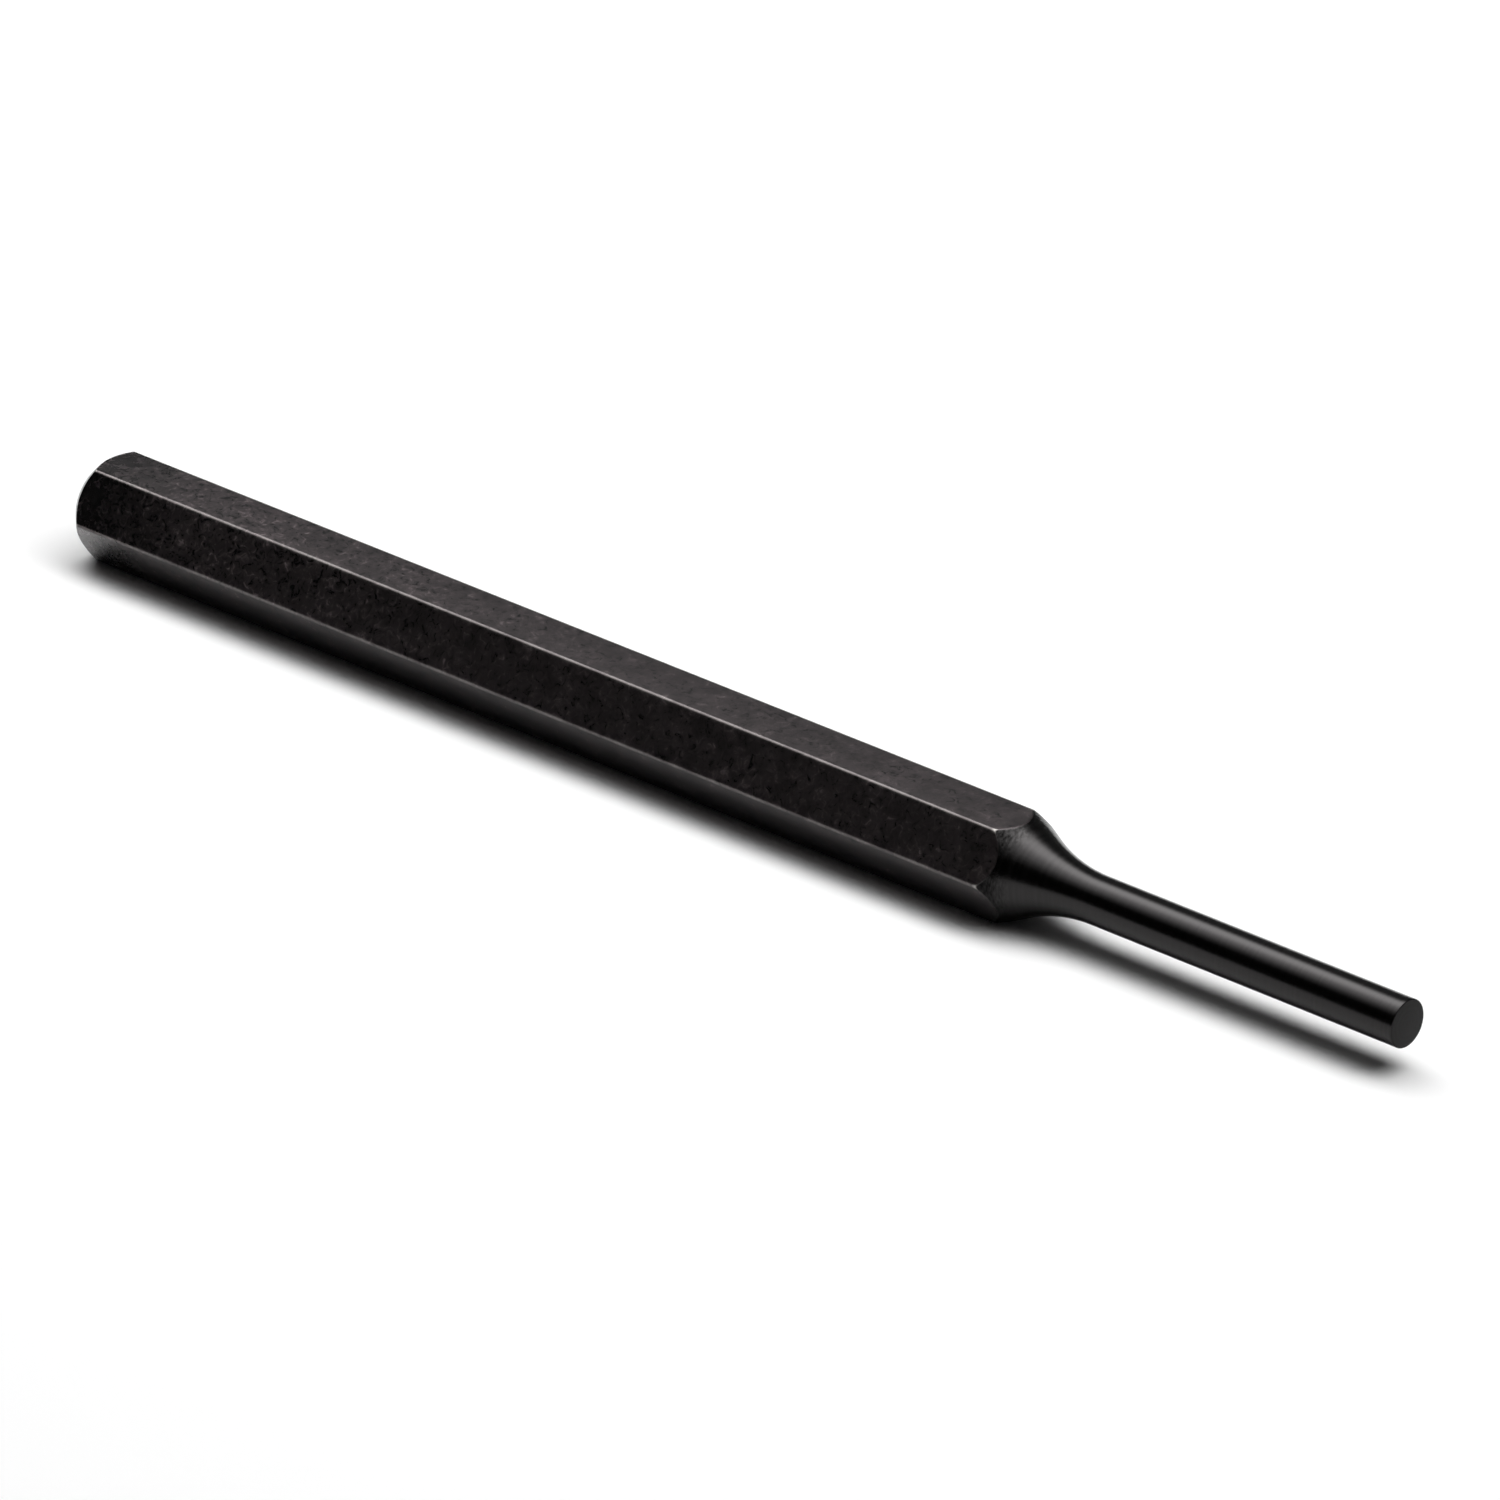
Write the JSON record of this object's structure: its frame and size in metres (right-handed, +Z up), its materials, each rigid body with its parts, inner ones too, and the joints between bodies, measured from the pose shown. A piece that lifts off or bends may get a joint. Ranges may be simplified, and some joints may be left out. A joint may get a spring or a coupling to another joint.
{
  "type": "pin punch",
  "caption": "Hexagonal steel pin punch, turned down through a cone and a large fillet to a straight round pin, with a chamfered struck head.",
  "frame": {"origin": "on the surface that the punch lies on, midway between the struck face and the pin's end, under the bar's axis", "axes": "+X along the bar from the struck head to the pin, +Z up from the flat that it lies on"},
  "size_m": [0.1588, 0.0108, 0.0095],
  "materials": {
    "black_oxide_steel": "black oxide over fine turning and drawn bar flats, satin"
  },
  "bodies": {
    "root": {"pin_punch": "black_oxide_steel"}
  },
  "joints": []
}
